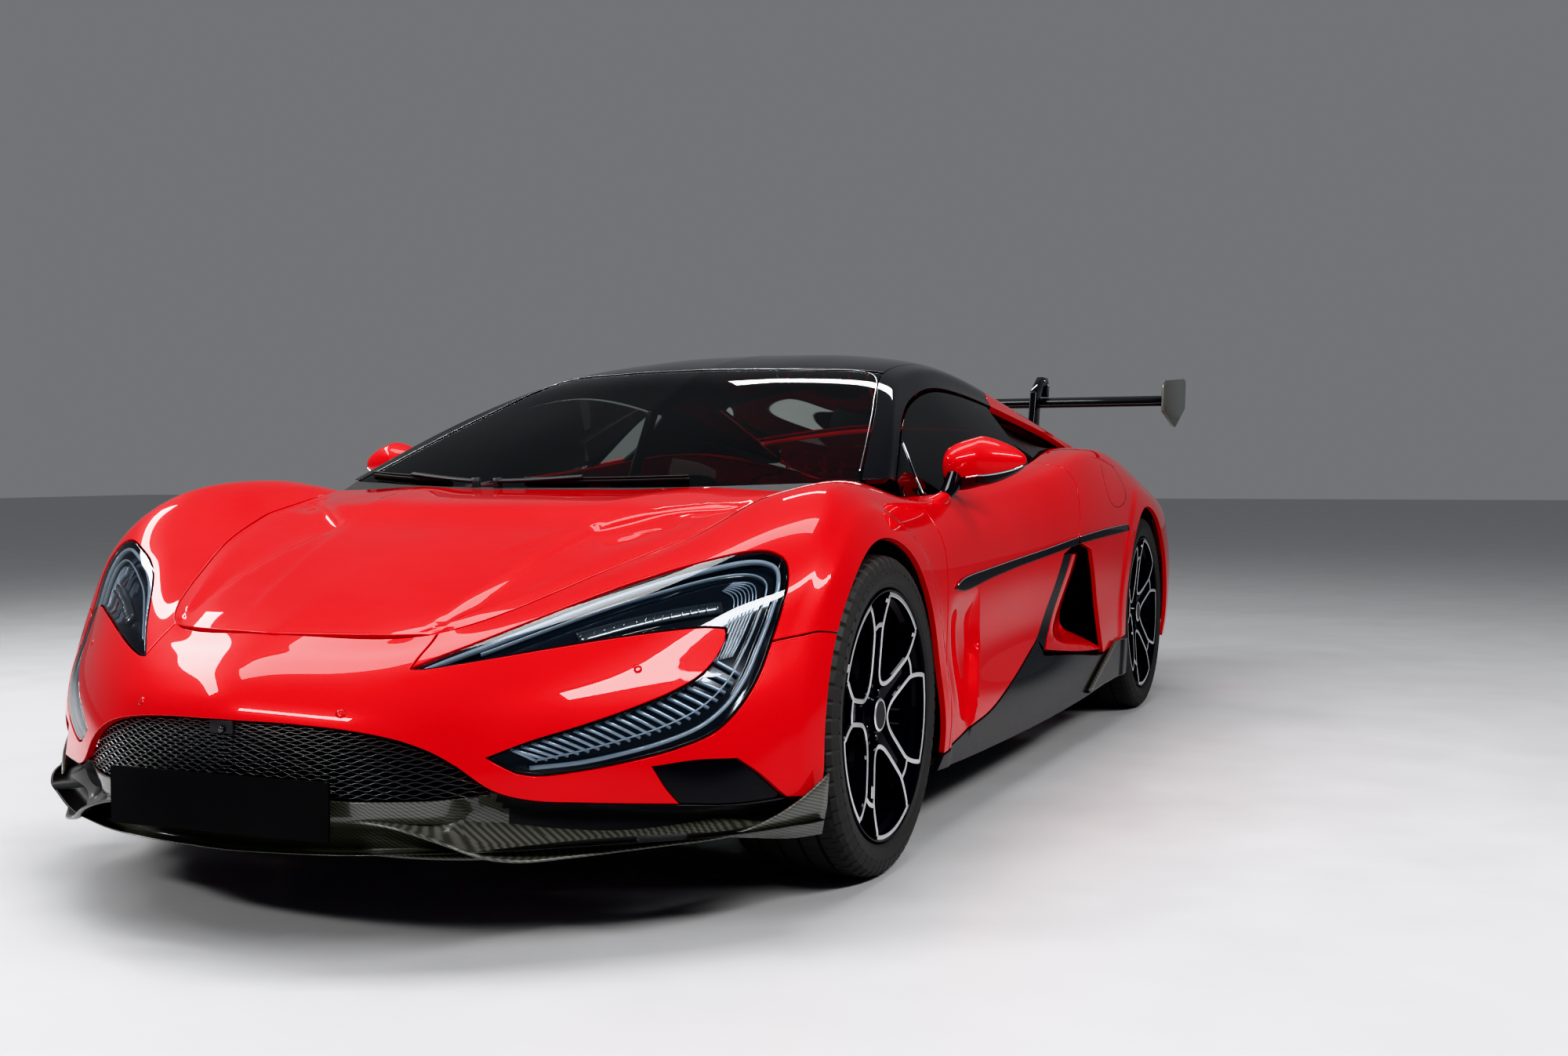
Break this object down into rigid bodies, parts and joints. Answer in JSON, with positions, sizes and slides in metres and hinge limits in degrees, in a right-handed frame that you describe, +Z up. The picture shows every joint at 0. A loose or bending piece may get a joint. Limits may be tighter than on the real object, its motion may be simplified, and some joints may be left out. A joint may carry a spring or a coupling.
{
  "type": "electric supercar",
  "caption": "Low mid-cab electric supercar with butterfly doors, bonnet lid, steered front wheels, rolling wheels, carbon splitter, diffuser and rear wing.",
  "frame": {"origin": "on the floor under the middle of the car's length and width", "axes": "+Z up, nose towards -Y, the car's own left side towards +X"},
  "size_m": [2.112, 4.966, 1.303],
  "materials": {
    "red_paint": "gloss clear coat",
    "black_gloss": "gloss",
    "carbon": "satin carbon weave",
    "black_trim": "matte",
    "glass": "tinted",
    "lamp_glass": "clear over black housing",
    "tail_glass": "red lens",
    "tyre": "matte",
    "rim_black": "gloss black with machined edges",
    "steel": "machined",
    "upright": "cast, with painted caliper",
    "leather": "soft",
    "plate": "blank"
  },
  "bodies": {
    "car": {"floor_tub": "carbon", "battery_block": "black_trim", "front_subframe": "upright", "rear_subframe": "upright", "wheel_liners": "black_trim", "front_bumper": "red_paint", "front_splitter": "carbon", "grille": "black_trim", "number_plate": "plate", "front_fenders": "red_paint", "headlamps": "lamp_glass", "windscreen": "glass", "cowl": "black_trim", "roof": "black_gloss", "rear_window": "glass", "sail_panels": "red_paint", "rear_quarters": "red_paint", "side_scoops": "red_paint", "buttress_ducts": "black_trim", "skirts": "carbon", "rear_deck": "red_paint", "rear_bumper": "red_paint", "tail_lamps": "tail_glass", "diffuser": "carbon", "wing": "carbon", "wing_necks": "black_gloss", "dashboard": "leather", "steering_wheel": "leather", "seats": "leather", "knuckle_rear_left": "upright", "knuckle_rear_right": "upright"},
    "bonnet": {"bonnet": "red_paint"},
    "door_left": {"door_left": "red_paint", "door_glass_left": "glass", "mirror_left": "red_paint"},
    "knuckle_left": {"knuckle_front_left": "upright"},
    "door_right": {"door_right": "red_paint", "door_glass_right": "glass", "mirror_right": "red_paint"},
    "knuckle_right": {"knuckle_front_right": "upright"},
    "wheel_front_left": {"tyre_front_left": "tyre", "rim_front_left": "rim_black", "brake_disc_front_left": "steel"},
    "wheel_front_right": {"tyre_front_right": "tyre", "rim_front_right": "rim_black", "brake_disc_front_right": "steel"},
    "wheel_rear_left": {"tyre_rear_left": "tyre", "rim_rear_left": "rim_black", "brake_disc_rear_left": "steel"},
    "wheel_rear_right": {"tyre_rear_right": "tyre", "rim_rear_right": "rim_black", "brake_disc_rear_right": "steel"}
  },
  "joints": [
    {"name": "door_left_hinge", "type": "hinge", "parent": "car", "child": "door_left", "pos_m": [0.92, -0.98, 0.735], "axis": [0.0925, -0.3698, -0.9245], "range_deg": [0, 60]},
    {"name": "door_right_hinge", "type": "hinge", "parent": "car", "child": "door_right", "pos_m": [-0.92, -0.98, 0.735], "axis": [0.0925, 0.3698, 0.9245], "range_deg": [0, 60]},
    {"name": "bonnet_hinge", "type": "hinge", "parent": "car", "child": "bonnet", "pos_m": [0, -1.195, 0.856], "axis": [-1, 0, 0], "range_deg": [0, 50]},
    {"name": "steer_left", "type": "hinge", "parent": "car", "child": "knuckle_left", "pos_m": [0.85, -1.423, 0.363], "axis": [0, 0, 1], "range_deg": [-30, 30]},
    {"name": "steer_right", "type": "hinge", "parent": "car", "child": "knuckle_right", "pos_m": [-0.85, -1.423, 0.363], "axis": [0, 0, 1], "range_deg": [-30, 30]},
    {"name": "spin_front_left", "type": "hinge", "parent": "knuckle_left", "child": "wheel_front_left", "pos_m": [0.85, -1.423, 0.363], "axis": [1, 0, 0], "continuous": true},
    {"name": "spin_front_right", "type": "hinge", "parent": "knuckle_right", "child": "wheel_front_right", "pos_m": [-0.85, -1.423, 0.363], "axis": [1, 0, 0], "continuous": true},
    {"name": "spin_rear_left", "type": "hinge", "parent": "car", "child": "wheel_rear_left", "pos_m": [0.836, 1.477, 0.363], "axis": [1, 0, 0], "continuous": true},
    {"name": "spin_rear_right", "type": "hinge", "parent": "car", "child": "wheel_rear_right", "pos_m": [-0.836, 1.477, 0.363], "axis": [1, 0, 0], "continuous": true}
  ],
  "couplings": [
    {"joint": "steer_right", "follows": "steer_left", "ratio": 1}
  ]
}
